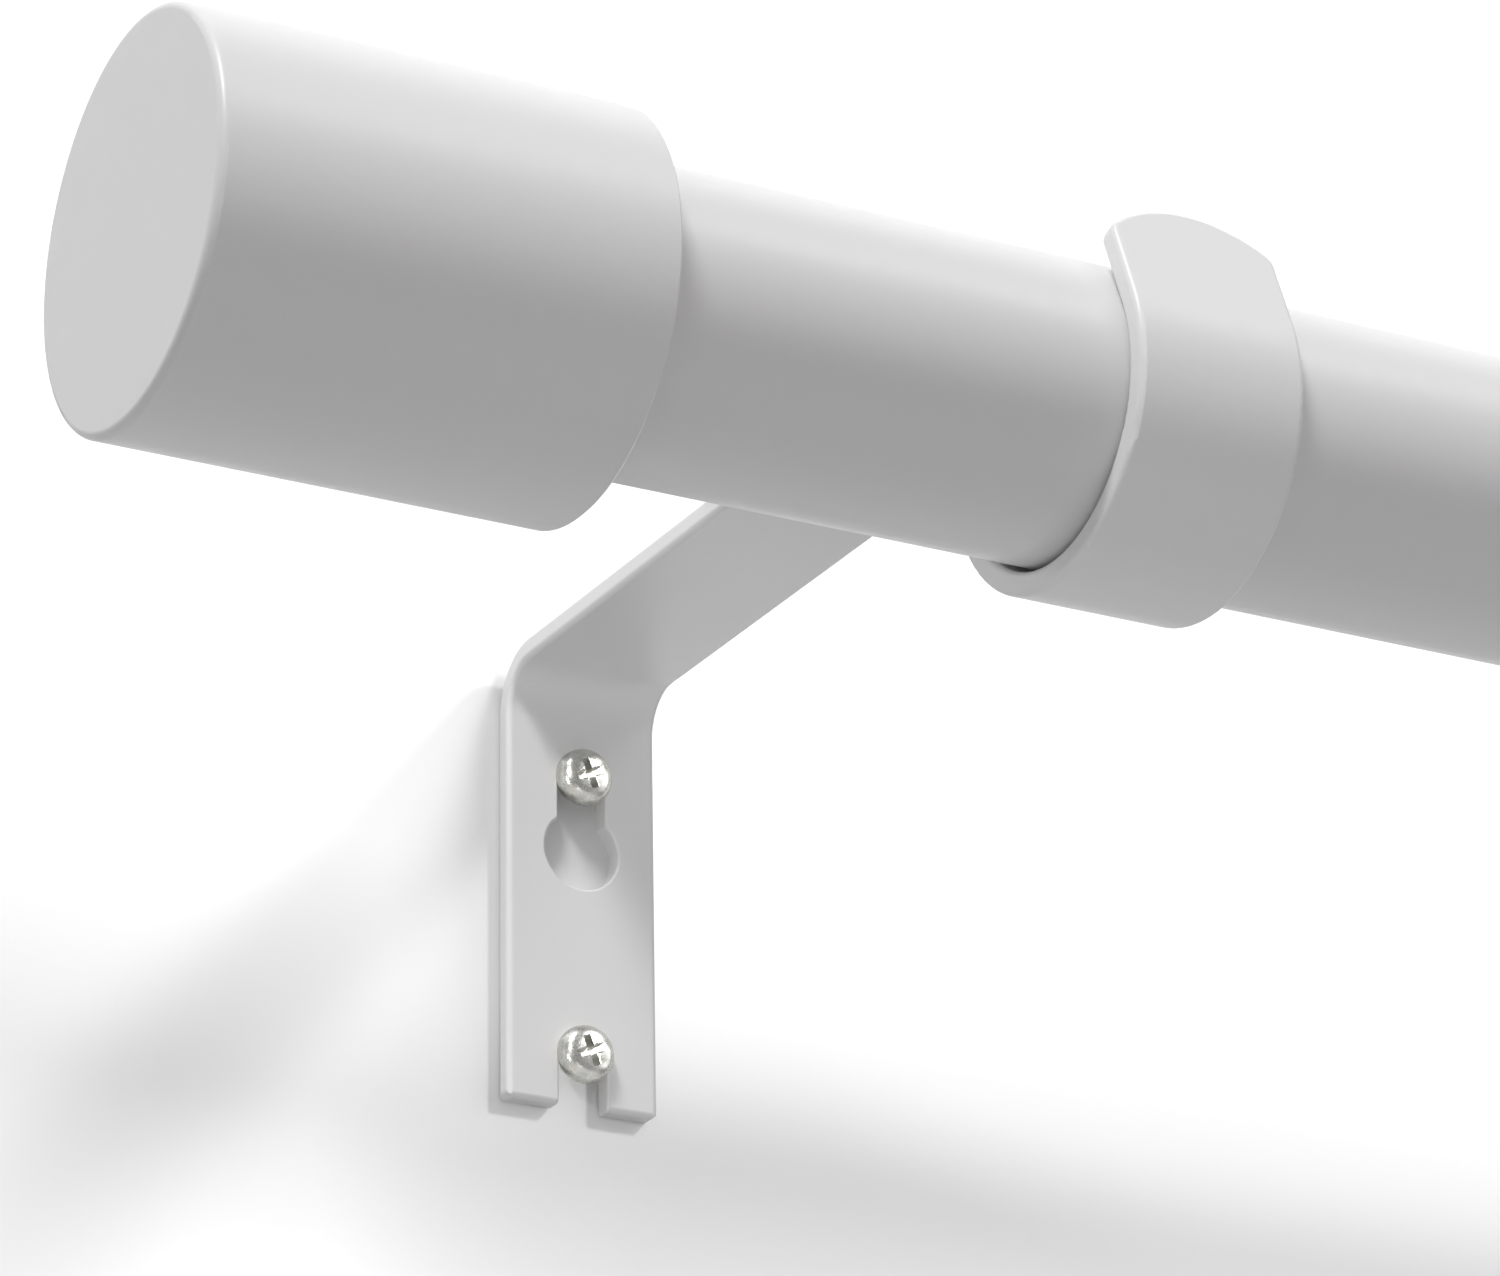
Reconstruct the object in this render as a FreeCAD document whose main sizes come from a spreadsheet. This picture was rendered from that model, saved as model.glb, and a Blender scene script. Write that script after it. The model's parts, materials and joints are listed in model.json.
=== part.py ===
"""A telescoping curtain rod with two drum finials, carried by two bent strip brackets.

Millimetres and degrees. +X runs along the rod from the left bracket to the right one,
+Y points into the wall, +Z is up. The origin is the middle of the left bracket's wall
face, so the wall is the plane y = 0 and the rod hangs in front of it at negative y.
"""
import FreeCAD, Part

import os

import Sketcher

# Driving dimensions, in millimetres and degrees

# the rod
TUBE_DIA = 25.4  # outer tube, outside
TUBE_WALL = 0.8  # outer tube, wall
TUBE_GAP = 0.8  # between the outer and the inner tube, all round
INNER_WALL = 0.8  # inner tube, wall
CLOSED_LENGTH = 711.2  # tube end to tube end with the rod pushed together
DRAWN_OUT = 30.8  # how far the rod is drawn out from there at rest
MOUTH_GAP = 5.25  # mouth ring to the right bracket with the rod pushed together
HIDDEN_GAP = 36.2  # outer tube's end to the inner tube's hidden end, pushed together
ROD_TO_WALL = 99.7  # rod axis to the wall
ROD_HEIGHT = 9.5  # rod axis above the middle of the wall plate

# the ring in the outer tube's mouth and the guide on the inner tube's hidden end
SLIDE_CLEARANCE = 0.1  # radial clearance of the telescoping fit
PRESS_CLEARANCE = 0.02  # radial clearance of a pushed-in plastic piece
RING_LIP = 1.2  # mouth ring, lip in front of the tube's end
RING_DEPTH = 12.0  # mouth ring, sleeve inside the tube
LIP_CHAMFER = 0.4  # mouth ring, chamfer of the lip
GUIDE_LENGTH = 6.0  # guide, collar that slides in the outer tube
GUIDE_PLUG = 14.0  # guide, plug inside the inner tube
GUIDE_WALL = 1.5  # guide, wall of the plug

# the finials
FINIAL_GAP = 50.0  # bracket centre to the finial's open rim
CAP_STEP = 4.3  # cap, how far it stands out from the outer tube all round
CAP_LENGTH = 38.6  # cap, face to rim
CAP_WALL = 1.2  # cap, side wall
CAP_FACE = 2.0  # cap, end wall
CAP_ROUND = 0.7  # cap, rounding round the face
RIM_CHAMFER = 0.25  # cap, chamfer of the open rim
CAP_DROP = 0.6  # how far the loose cap hangs below the tube's axis
SOCKET_DEPTH = 26.0  # how deep the tube sits inside the cap
LINER_RECESS = 0.4  # liner's flange behind the rim
LINER_FLANGE = 2.0  # liner, flange in the cap's mouth
LINER_WALL = 1.4  # liner, sleeve round the tube
LINER_FLOOR = 2.0  # liner, floor behind the tube's end
LINER_HOLE_DIA = 8.0  # liner, hole in the floor
LINER_RIB = 1.4  # liner, thickness of a rib
LINER_RIBS = 6  # liner, number of ribs
SEAT_CLEARANCE = 0.05  # play between pieces that only rest on one another
END_GAP = 0.3  # tube end to the liner's floor

# the bracket, bent from one flat strip
STRIP_WIDTH = 15.5  # strip, width
STRIP_THICK = 2.1  # strip, thickness
STRIP_ROUND = 0.55  # strip, rounding of its long edges and ends
PLATE_HEIGHT = 38.0  # flat part of the wall plate
PLATE_CORNER = 0.8  # wall plate, corner radius seen from the front
BEND_ROUND = 4.0  # bend between plate and arm, inside radius
HOOK_BEND = 3.0  # bend between arm and hook, inside radius
HOOK_PLAY = 0.3  # hook's inside radius, beyond the outer tube's
HOOK_SET_BACK = 0.22  # hook's axis behind the rod's, so the rod leans on the hook's front
HOOK_LIP = 69.0  # where the hook's arc ends, degrees from the top towards the front
LIP_REACH = 10.55  # straight lip beyond the arc, to its tip
LIP_TIP = 11.0  # radius of the lip's rounded end, seen from the front
LIP_CORNER = 1.5  # radius of the lip's two corners, seen from the front

# the holes in the wall plate and the screws in them
SCREW_BELOW_TOP = 5.5  # upper screw below the flat plate's top
SLOT_DEPTH = 5.0  # lower screw above the plate's foot
KEYHOLE_DROP = 7.2  # upper screw to the keyhole's round opening
KEYHOLE_DIA = 7.7  # keyhole, round opening
SLOT_WIDTH = 5.0  # keyhole neck and lower slot, width
HOLE_ROUND = 0.25  # rounding of the holes' front edges
HEAD_DIA = 5.6  # screw head
HEAD_HEIGHT = 2.0  # screw head
HEAD_EDGE = 0.5  # screw head, straight part of its side
NECK_DIA = 3.0  # screw, bare neck under the head
NECK_SPARE = 0.9  # screw, how far the bare neck runs past the plate
SCREW_DIA = 3.5  # screw thread, outside
SCREW_LENGTH = 25.0  # screw, under its head
SCREW_POINT = 5.0  # screw, length of the point
RECESS_SPAN = 3.0  # cross recess, tip to tip
RECESS_WIDTH = 0.8  # cross recess, width of an arm
RECESS_DEPTH = 1.2  # cross recess, depth
CUTTER_SPARE = 2.0  # how far a cutting profile runs past what it cuts

# what goes into the sheet, under the same names in small letters
SIZES = dict(
    tube_dia=TUBE_DIA, tube_wall=TUBE_WALL, tube_gap=TUBE_GAP, inner_wall=INNER_WALL,
    closed_length=CLOSED_LENGTH, drawn_out=DRAWN_OUT, mouth_gap=MOUTH_GAP,
    hidden_gap=HIDDEN_GAP, rod_to_wall=ROD_TO_WALL, rod_height=ROD_HEIGHT,
    slide_clearance=SLIDE_CLEARANCE, press_clearance=PRESS_CLEARANCE, ring_lip=RING_LIP,
    ring_depth=RING_DEPTH, lip_chamfer=LIP_CHAMFER, guide_length=GUIDE_LENGTH, guide_plug=GUIDE_PLUG,
    guide_wall=GUIDE_WALL,
    finial_gap=FINIAL_GAP, cap_step=CAP_STEP, cap_length=CAP_LENGTH, cap_wall=CAP_WALL,
    cap_face=CAP_FACE, cap_round=CAP_ROUND, rim_chamfer=RIM_CHAMFER, cap_drop=CAP_DROP,
    socket_depth=SOCKET_DEPTH, liner_recess=LINER_RECESS, liner_flange=LINER_FLANGE,
    liner_wall=LINER_WALL, liner_floor=LINER_FLOOR, liner_hole_dia=LINER_HOLE_DIA,
    liner_rib=LINER_RIB, liner_ribs=LINER_RIBS, seat_clearance=SEAT_CLEARANCE, end_gap=END_GAP,
    strip_width=STRIP_WIDTH, strip_thick=STRIP_THICK, strip_round=STRIP_ROUND,
    plate_height=PLATE_HEIGHT, plate_corner=PLATE_CORNER, bend_round=BEND_ROUND,
    hook_bend=HOOK_BEND, hook_play=HOOK_PLAY, hook_set_back=HOOK_SET_BACK, hook_lip=HOOK_LIP,
    lip_reach=LIP_REACH, lip_tip=LIP_TIP, lip_corner=LIP_CORNER,
    screw_below_top=SCREW_BELOW_TOP, slot_depth=SLOT_DEPTH, keyhole_drop=KEYHOLE_DROP,
    keyhole_dia=KEYHOLE_DIA, slot_width=SLOT_WIDTH, hole_round=HOLE_ROUND, head_dia=HEAD_DIA,
    head_height=HEAD_HEIGHT, head_edge=HEAD_EDGE, neck_dia=NECK_DIA, neck_spare=NECK_SPARE,
    screw_dia=SCREW_DIA, screw_length=SCREW_LENGTH, screw_point=SCREW_POINT,
    recess_span=RECESS_SPAN, recess_width=RECESS_WIDTH, recess_depth=RECESS_DEPTH,
    cutter_spare=CUTTER_SPARE,
)

PARTS_FOLDER = "parts"
# how far two lengths may differ and still count as equal when edges are picked
TOLERANCE = 0.001
# the turn that cuts the lip's end, wide enough to pass both of the strip's sides
LIP_CUT_ANGLE = 120

document = FreeCAD.newDocument("curtain_rod")
sheet = document.addObject("Spreadsheet::Sheet", "Sizes")


def fill_sheet():
    """Writes every driving dimension into the sheet, its name beside it and as its alias."""
    for row, (alias, size) in enumerate(SIZES.items(), start=1):
        sheet.set(f"A{row}", alias)
        sheet.set(f"B{row}", str(size))
        sheet.setAlias(f"B{row}", alias)
    document.recompute()


def named(expression):
    """Turns every $alias in an expression into a reference to the sheet's cell."""
    return expression.replace("$", "Sizes.")


def value(expression):
    """The present value of an expression."""
    return float(sheet.evalExpression(named(expression)))


def bind(item, property_path, expression):
    """Makes a property follow an expression."""
    item.setExpression(property_path, named(expression))


def new_body(name, x="0", y="0", z="0", facing_left=False):
    """An empty body; facing_left turns its own +X round to point at -X."""
    body = document.addObject("PartDesign::Body", name)
    turn = 180 if facing_left else 0
    body.Placement = FreeCAD.Placement(
        FreeCAD.Vector(value(x), value(y), value(z)),
        FreeCAD.Rotation(FreeCAD.Vector(0, 0, 1), turn),
    )
    bind(body, "Placement.Base.x", x)
    bind(body, "Placement.Base.y", y)
    bind(body, "Placement.Base.z", z)
    return body


def new_sketch(body, name, plane):
    """A sketch on one of the body's own planes."""
    sketch = body.newObject("Sketcher::SketchObject", body.Name + "_" + name)
    support = [item for item in body.Origin.OriginFeatures if item.Role == plane][0]
    sketch.AttachmentSupport = (support, [""])
    sketch.MapMode = "FlatFace"
    return sketch


def dimension(sketch, kind, references, expression):
    """Adds one dimension that follows an expression."""
    index = sketch.addConstraint(Sketcher.Constraint(kind, *references, value(expression)))
    bind(sketch, f"Constraints[{index}]", expression)


def pin_point(sketch, geometry, end, x, y):
    """Holds a point of the sketch at a place given by two expressions."""
    dimension(sketch, "DistanceX", (-1, 1, geometry, end), x)
    dimension(sketch, "DistanceY", (-1, 1, geometry, end), y)


class Arc:
    """A round stretch of an outline: its end point, its centre and its sense."""

    def __init__(self, x, y, centre_x, centre_y, clockwise=False):
        self.end = (x, y)
        self.centre = (centre_x, centre_y)
        self.clockwise = clockwise


def point(place):
    """The present place of a point that is given by two expressions."""
    return FreeCAD.Vector(value(place[0]), value(place[1]), 0)


def end_of(step):
    """Where a stretch of an outline ends."""
    return step.end if isinstance(step, Arc) else step


def hold_corner(sketch, geometry, end, place, arriving):
    """Holds a corner; where an arc arrives, its circle already gives one coordinate."""
    if not isinstance(arriving, Arc):
        pin_point(sketch, geometry, end, *place)
        return
    spoke = point(place) - point(arriving.centre)
    if abs(spoke.x) > abs(spoke.y):
        dimension(sketch, "DistanceY", (-1, 1, geometry, end), place[1])
    else:
        dimension(sketch, "DistanceX", (-1, 1, geometry, end), place[0])


def draw(sketch, start, *stretches, closed=True):
    """Draws lines, given by their end points, and arcs, one after the other."""
    steps = list(stretches)
    if closed and end_of(steps[-1]) != start:
        steps.append(start)
    arriving = steps[-1] if closed else None
    here = start
    first = None
    last = None
    for step in steps:
        a = point(here)
        b = point(end_of(step))
        enter, leave = 1, 2
        if isinstance(step, Arc):
            middle = point(step.centre)
            circle = Part.Circle(middle, FreeCAD.Vector(0, 0, 1), (a - middle).Length)
            if step.clockwise:
                a, b = b, a
                enter, leave = 2, 1
            shape = Part.ArcOfCircle(circle, circle.parameter(a), circle.parameter(b))
        else:
            shape = Part.LineSegment(a, b)
        index = sketch.addGeometry(shape, False)
        if last is None:
            first = (index, enter)
        else:
            sketch.addConstraint(Sketcher.Constraint("Coincident", *last, index, enter))
        hold_corner(sketch, index, enter, here, arriving)
        if isinstance(step, Arc):
            pin_point(sketch, index, 3, *step.centre)
        last = (index, leave)
        here = end_of(step)
        arriving = step
    if closed:
        sketch.addConstraint(Sketcher.Constraint("Coincident", *last, *first))
    else:
        hold_corner(sketch, *last, here, arriving)


def revolve(body, sketch, axis="H_Axis", cutting=False, angle=360):
    """Turns a profile about one of the sketch's own axes."""
    kind = "PartDesign::Groove" if cutting else "PartDesign::Revolution"
    feature = body.newObject(kind, sketch.Name + "_turned")
    feature.Profile = sketch
    feature.ReferenceAxis = (sketch, [axis])
    feature.Angle = angle
    feature.Midplane = angle < 360
    return feature


def mirror_across(body, feature):
    """Repeats a feature on the other side of the body's middle plane."""
    mirrored = body.newObject("PartDesign::Mirrored", feature.Name + "_mirrored")
    plane = [item for item in body.Origin.OriginFeatures if item.Role == "YZ_Plane"][0]
    mirrored.Originals = [feature]
    mirrored.MirrorPlane = (plane, [""])
    body.Tip = mirrored


def pocket_through(body, sketch, length):
    """Cuts a profile out of the body, half the length each way from the sketch."""
    feature = body.newObject("PartDesign::Pocket", sketch.Name + "_cut")
    feature.Profile = sketch
    feature.SideType = "Symmetric"
    bind(feature, "Length", length)
    return feature


# Places that several pieces share
ROD_Y = "(-$rod_to_wall)"
TUBE_RADIUS = "($tube_dia / 2)"
TUBE_BORE = f"({TUBE_RADIUS} - $tube_wall)"
INNER_RADIUS = f"({TUBE_BORE} - $tube_gap)"
INNER_BORE = f"({INNER_RADIUS} - $inner_wall)"
CAP_RADIUS = f"({TUBE_RADIUS} + $cap_step)"
CAP_BORE = f"({CAP_RADIUS} - $cap_wall)"
END_STRETCH = "($finial_gap + $socket_depth)"
TUBE_START = f"(-{END_STRETCH})"
RIGHT_BRACKET_X = f"($closed_length + $drawn_out - 2 * {END_STRETCH})"
TUBE_END = f"({RIGHT_BRACKET_X} - $drawn_out - $strip_width / 2 - $mouth_gap - $ring_lip)"
TUBE_LENGTH = f"({TUBE_END} - {TUBE_START})"
INNER_END = f"({RIGHT_BRACKET_X} + {END_STRETCH})"
INNER_START = f"({TUBE_START} + $hidden_gap + $drawn_out)"
INNER_LENGTH = f"({INNER_END} - {INNER_START})"
# the inner tube is thinner, so its bracket is screwed on that much higher
RIGHT_BRACKET_Z = "($tube_wall + $tube_gap)"


def tube(name, start, length, outer, inner):
    """A plain round tube along X."""
    body = new_body(name, start, ROD_Y, "$rod_height")
    sketch = new_sketch(body, "section", "YZ_Plane")
    for radius in (outer, inner):
        circle = Part.Circle(FreeCAD.Vector(0, 0, 0), FreeCAD.Vector(0, 0, 1), value(radius))
        index = sketch.addGeometry(circle, False)
        sketch.addConstraint(Sketcher.Constraint("Coincident", index, 3, -1, 1))
        dimension(sketch, "Radius", (index,), radius)
    pad = body.newObject("PartDesign::Pad", name + "_drawn")
    pad.Profile = sketch
    bind(pad, "Length", length)
    return body


def mouth_ring():
    """The plastic ring in the outer tube's open end, in which the inner tube slides."""
    body = new_body("tube_mouth_ring", TUBE_END, ROD_Y, "$rod_height")
    sketch = new_sketch(body, "profile", "XY_Plane")
    bore = f"({INNER_RADIUS} + $slide_clearance)"
    sleeve = f"({TUBE_BORE} - $press_clearance)"
    draw(
        sketch,
        ("-$ring_depth", bore),
        ("$ring_lip", bore),
        ("$ring_lip", f"{TUBE_RADIUS} - $lip_chamfer"),
        ("$ring_lip - $lip_chamfer", TUBE_RADIUS),
        ("0", TUBE_RADIUS),
        ("0", sleeve),
        ("-$ring_depth", sleeve),
    )
    revolve(body, sketch)
    return body


def tube_guide():
    """The plastic guide plugged into the inner tube, which centres it in the outer one."""
    body = new_body("inner_tube_guide", INNER_START, ROD_Y, "$rod_height")
    sketch = new_sketch(body, "profile", "XY_Plane")
    plug = f"({INNER_BORE} - $press_clearance)"
    bore = f"({plug} - $guide_wall)"
    collar = f"({TUBE_BORE} - $slide_clearance)"
    draw(
        sketch,
        ("-$guide_length", bore),
        ("$guide_plug", bore),
        ("$guide_plug", plug),
        ("0", plug),
        ("0", collar),
        ("-$guide_length", collar),
    )
    revolve(body, sketch)
    return body


def finial_place(left):
    """Where a finial's closed face stands along X."""
    if left:
        return "(-$finial_gap - $cap_length)"
    return f"({RIGHT_BRACKET_X} + $finial_gap + $cap_length)"


def finial_cap(name, left):
    """The drum: a thin round cap, closed by a flat face and open towards the bracket."""
    body = new_body(name, finial_place(left), ROD_Y, "$rod_height - $cap_drop", not left)
    sketch = new_sketch(body, "profile", "XY_Plane")
    draw(
        sketch,
        ("0", "0"),
        ("0", f"{CAP_RADIUS} - $cap_round"),
        Arc("$cap_round", CAP_RADIUS, "$cap_round", f"{CAP_RADIUS} - $cap_round", clockwise=True),
        ("$cap_length - $rim_chamfer", CAP_RADIUS),
        ("$cap_length", f"{CAP_RADIUS} - $rim_chamfer"),
        ("$cap_length", CAP_BORE),
        ("$cap_face", CAP_BORE),
        ("$cap_face", "0"),
    )
    revolve(body, sketch)
    return body


def finial_liner(name, left, tube_radius):
    """The moulded liner that fills the cap and takes the tube in its sleeve."""
    body = new_body(name, finial_place(left), ROD_Y, "$rod_height - $cap_drop", not left)
    sketch = new_sketch(body, "profile", "XY_Plane")
    # the cap hangs on the tube, so the bore is wider than the tube by twice the drop
    bore = f"({tube_radius} + $cap_drop + $seat_clearance)"
    sleeve = f"({bore} + $liner_wall)"
    flange = f"({CAP_BORE} - $press_clearance)"
    mouth = "($cap_length - $liner_recess)"
    floor_front = "($cap_length - $socket_depth - $end_gap)"
    floor_back = f"({floor_front} - $liner_floor)"
    draw(
        sketch,
        (mouth, bore),
        (mouth, flange),
        (f"{mouth} - $liner_flange", flange),
        (f"{mouth} - $liner_flange", sleeve),
        (floor_back, sleeve),
        (floor_back, "$liner_hole_dia / 2"),
        (floor_front, "$liner_hole_dia / 2"),
        (floor_front, bore),
    )
    revolve(body, sketch)
    rib_sketch = new_sketch(body, "rib", "XY_Plane")
    inside = f"({sleeve} - $liner_wall / 2)"
    draw(
        rib_sketch,
        (floor_back, inside),
        (f"{mouth} - $liner_flange / 2", inside),
        (f"{mouth} - $liner_flange / 2", flange),
        (floor_back, flange),
    )
    rib = body.newObject("PartDesign::Pad", name + "_rib")
    rib.Profile = rib_sketch
    rib.SideType = "Symmetric"
    bind(rib, "Length", "$liner_rib")
    pattern = body.newObject("PartDesign::PolarPattern", name + "_ribs")
    pattern.Originals = [rib]
    pattern.Axis = (rib_sketch, ["H_Axis"])
    pattern.Angle = 360
    bind(pattern, "Occurrences", "$liner_ribs")
    body.Tip = pattern
    return body


# The strip's middle line, from the foot of the wall plate to the tip of the hook's lip
HALF_STRIP = "($strip_thick / 2)"
PLATE_HALF = "($plate_height / 2)"
BEND_RADIUS = f"($bend_round + {HALF_STRIP})"
ARM_Z = f"({PLATE_HALF} + {BEND_RADIUS})"
HOOK_BEND_RADIUS = f"($hook_bend + {HALF_STRIP})"
HOOK_BORE = f"({TUBE_RADIUS} + $hook_play)"
HOOK_RADIUS = f"({HOOK_BORE} + {HALF_STRIP})"
HOOK_Y = f"({ROD_Y} + $hook_set_back)"
HOOK_BACK_Y = f"({HOOK_Y} + {HOOK_RADIUS})"
HOOK_BEND_Y = f"({HOOK_BACK_Y} + {HOOK_BEND_RADIUS})"
LIP_Y = f"({HOOK_Y} - {HOOK_RADIUS} * sin($hook_lip))"
LIP_Z = f"($rod_height + {HOOK_RADIUS} * cos($hook_lip))"
UPPER_SCREW = f"({PLATE_HALF} - $screw_below_top)"
LOWER_SCREW = f"($slot_depth - {PLATE_HALF})"


def strip_path(body):
    """Up the wall, out along the arm, down behind the rod, round under it and up in front."""
    path = new_sketch(body, "path", "YZ_Plane")
    past_tip = "($lip_reach + $cutter_spare)"
    draw(
        path,
        (f"-{HALF_STRIP}", f"-{PLATE_HALF} - $cutter_spare"),
        (f"-{HALF_STRIP}", PLATE_HALF),
        Arc(f"-{HALF_STRIP} - {BEND_RADIUS}", ARM_Z,
            f"-{HALF_STRIP} - {BEND_RADIUS}", PLATE_HALF),
        (HOOK_BEND_Y, ARM_Z),
        Arc(HOOK_BACK_Y, f"{ARM_Z} - {HOOK_BEND_RADIUS}",
            HOOK_BEND_Y, f"{ARM_Z} - {HOOK_BEND_RADIUS}"),
        (HOOK_BACK_Y, "$rod_height"),
        Arc(LIP_Y, LIP_Z, HOOK_Y, "$rod_height", clockwise=True),
        (f"{LIP_Y} + {past_tip} * cos($hook_lip)", f"{LIP_Z} + {past_tip} * sin($hook_lip)"),
        closed=False,
    )
    return path


def strip_section(body):
    """The strip's rolled section: a flat bar with rounded edges."""
    section = new_sketch(body, "section", "XY_Plane")
    bind(section, "AttachmentOffset.Base.z", f"-{PLATE_HALF} - $cutter_spare")
    side = "($strip_width / 2)"
    inset = "($strip_width / 2 - $strip_round)"
    back = "(-$strip_round)"
    front = "($strip_round - $strip_thick)"
    draw(
        section,
        (f"-{inset}", "-$strip_thick"),
        (inset, "-$strip_thick"),
        Arc(side, front, inset, front),
        (side, back),
        Arc(inset, "0", inset, back),
        (f"-{inset}", "0"),
        Arc(f"-{side}", back, f"-{inset}", back),
        (f"-{side}", front),
        Arc(f"-{inset}", "-$strip_thick", f"-{inset}", front),
    )
    return section


def draw_end_cutter(sketch, reach):
    """What is taken off a strip's end: all beyond the reach, with both edges rounded."""
    edge = f"({reach} - $strip_round)"
    beyond = f"({reach} + $strip_width)"
    under = "(-$cutter_spare)"
    over = "($strip_thick + $cutter_spare)"
    draw(
        sketch,
        (beyond, under),
        (beyond, over),
        (edge, over),
        (edge, "$strip_thick"),
        Arc(reach, "$strip_thick - $strip_round",
            edge, "$strip_thick - $strip_round", clockwise=True),
        (reach, "$strip_round"),
        Arc(edge, "0", edge, "$strip_round", clockwise=True),
        (edge, under),
    )


def shape_plate_foot(body):
    """Squares the plate's foot off, softens its edges and rounds its two corners."""
    foot = new_sketch(body, "foot", "YZ_Plane")
    # the sketch is turned to look down the plate: its own x is -Z and its own y is -Y
    foot.AttachmentOffset = FreeCAD.Placement(
        FreeCAD.Vector(0, 0, 0), FreeCAD.Rotation(FreeCAD.Vector(1, -1, 0), 180)
    )
    draw_end_cutter(foot, PLATE_HALF)
    pocket_through(body, foot, "$strip_width + 2 * $cutter_spare")
    corners = new_sketch(body, "corners", "XZ_Plane")
    for sign in ("", "-"):
        inset_x = f"{sign}($strip_width / 2 - $plate_corner)"
        side_x = f"{sign}($strip_width / 2)"
        beyond_x = f"{sign}($strip_width / 2 + $cutter_spare)"
        inset_z = f"(-{PLATE_HALF} + $plate_corner)"
        draw(
            corners,
            (inset_x, f"-{PLATE_HALF}"),
            Arc(side_x, inset_z, inset_x, inset_z, clockwise=sign == "-"),
            (beyond_x, inset_z),
            (beyond_x, f"-{PLATE_HALF} - $cutter_spare"),
            (inset_x, f"-{PLATE_HALF} - $cutter_spare"),
        )
    pocket_through(body, corners, "4 * $strip_thick")


def cut_plate_holes(body):
    """The keyhole that hangs on the upper screw, and the open slot round the lower one."""
    holes = new_sketch(body, "holes", "XZ_Plane")
    half_slot = "($slot_width / 2)"
    keyhole_z = f"({UPPER_SCREW} - $keyhole_drop)"
    neck_z = f"({keyhole_z} + sqrt(($keyhole_dia / 2) ^ 2 - {half_slot} ^ 2))"
    draw(
        holes,
        (half_slot, UPPER_SCREW),
        Arc(f"-{half_slot}", UPPER_SCREW, "0", UPPER_SCREW),
        (f"-{half_slot}", neck_z),
        Arc(half_slot, neck_z, "0", keyhole_z),
    )
    below = f"(-{PLATE_HALF} - $cutter_spare)"
    draw(
        holes,
        (half_slot, below),
        (half_slot, LOWER_SCREW),
        Arc(f"-{half_slot}", LOWER_SCREW, "0", LOWER_SCREW),
        (f"-{half_slot}", below),
    )
    pocket_through(body, holes, "4 * $strip_thick")


def on_lip(along):
    """Where a place on the lip's inner face is, given by how far up the lip it lies."""
    y = f"{HOOK_Y} + {along} * cos($hook_lip) - {HOOK_BORE} * sin($hook_lip)"
    z = f"$rod_height + {along} * sin($hook_lip) + {HOOK_BORE} * cos($hook_lip)"
    return y, z


def shape_lip(body):
    """Rounds the lip's end, seen from the front, and softens its edges."""
    tip = new_sketch(body, "tip", "YZ_Plane")
    # the sketch lies along the lip: its x runs up the lip, its y out through the strip
    centre = "($lip_reach - $lip_tip)"
    along_y, along_z = on_lip(centre)
    tip.AttachmentOffset = FreeCAD.Placement(
        FreeCAD.Vector(value(along_y), value(along_z), 0),
        FreeCAD.Rotation(FreeCAD.Vector(0, 0, 1), value("$hook_lip")),
    )
    bind(tip, "AttachmentOffset.Base.x", along_y)
    bind(tip, "AttachmentOffset.Base.y", along_z)
    bind(tip, "AttachmentOffset.Rotation.Angle", "$hook_lip")
    draw_end_cutter(tip, "$lip_tip")
    revolve(body, tip, "V_Axis", cutting=True, angle=LIP_CUT_ANGLE)

    corner = new_sketch(body, "lip_corner", "XY_Plane")
    # this sketch stands across the lip: its x runs to the strip's side, its y out through it
    inset = "($strip_width / 2 - $lip_corner)"
    tip_to_corner = "($lip_tip - $lip_corner)"
    corner_y, corner_z = on_lip(f"({centre} + sqrt({tip_to_corner} ^ 2 - {inset} ^ 2))")
    corner.AttachmentOffset = FreeCAD.Placement(
        FreeCAD.Vector(value(inset), value(corner_y), value(corner_z)),
        FreeCAD.Rotation(FreeCAD.Vector(1, 0, 0), value("90 + $hook_lip")),
    )
    bind(corner, "AttachmentOffset.Base.x", inset)
    bind(corner, "AttachmentOffset.Base.y", corner_y)
    bind(corner, "AttachmentOffset.Base.z", corner_z)
    bind(corner, "AttachmentOffset.Rotation.Angle", "90 + $hook_lip")
    draw_end_cutter(corner, "$lip_corner")
    cut = revolve(body, corner, "V_Axis", cutting=True)
    bind(cut, "Angle", f"acos({inset} / {tip_to_corner})")
    mirror_across(body, cut)


def soften_holes(body):
    """Rounds the front edges of the keyhole and the slot, as the paint leaves them."""
    before = body.Tip
    document.recompute()
    names = []
    front = value("-$strip_thick")
    side = value("$strip_width / 2 - $strip_round") - TOLERANCE
    top = value(PLATE_HALF) - TOLERANCE
    foot = value(f"-{PLATE_HALF} + $strip_round") + TOLERANCE
    for number, edge in enumerate(before.Shape.Edges, start=1):
        box = edge.BoundBox
        on_front = abs(box.YMin - front) < TOLERANCE and abs(box.YMax - front) < TOLERANCE
        between_sides = box.XMin > -side and box.XMax < side
        if on_front and between_sides and foot < box.ZMax < top:
            names.append(f"Edge{number}")
    fillet = body.newObject("PartDesign::Fillet", body.Name + "_softened")
    fillet.Base = (before, names)
    bind(fillet, "Radius", "$hole_round")


def bracket(name, x, z):
    """One bent strip: wall plate, arm and open hook."""
    body = new_body(name, x, "0", z)
    strip = body.newObject("PartDesign::AdditivePipe", name + "_strip")
    strip.Profile = strip_section(body)
    strip.Spine = (strip_path(body), [])
    strip.Mode = "Frenet"
    shape_plate_foot(body)
    cut_plate_holes(body)
    shape_lip(body)
    soften_holes(body)
    return body


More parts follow.
